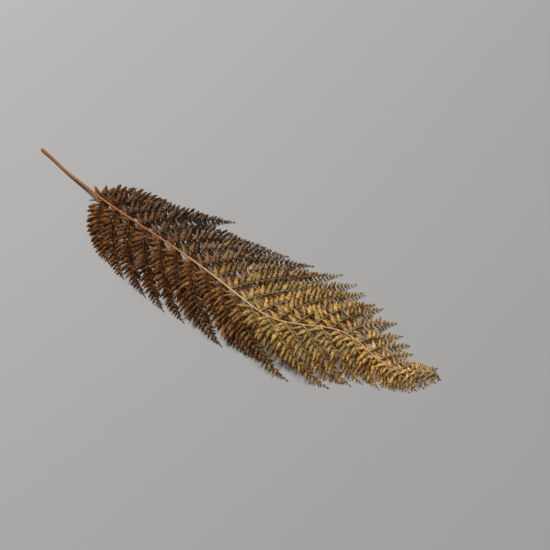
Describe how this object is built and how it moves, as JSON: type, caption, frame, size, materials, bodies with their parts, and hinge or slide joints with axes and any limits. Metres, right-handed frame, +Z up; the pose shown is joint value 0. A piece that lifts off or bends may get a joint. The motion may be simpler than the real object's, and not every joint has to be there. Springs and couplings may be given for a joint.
{
  "type": "dried fern frond",
  "caption": "Dried fern frond lying face up: a slender bare stalk that runs on as the leaf's rib, with drooping pinnae along both sides, cut into small curled leaflets.",
  "frame": {"origin": "centre of the frond's bounding box in plan, on the surface that the frond lies on", "axes": "+X along the frond from the cut end of the stalk to the tip, +Y to the left of the rib seen from above, +Z up"},
  "size_m": [0.587, 0.1646, 0.0252],
  "materials": {
    "dry_leaf": "matte",
    "dry_stalk": "satin"
  },
  "bodies": {
    "root": {"frond": "dry_leaf"}
  },
  "joints": []
}
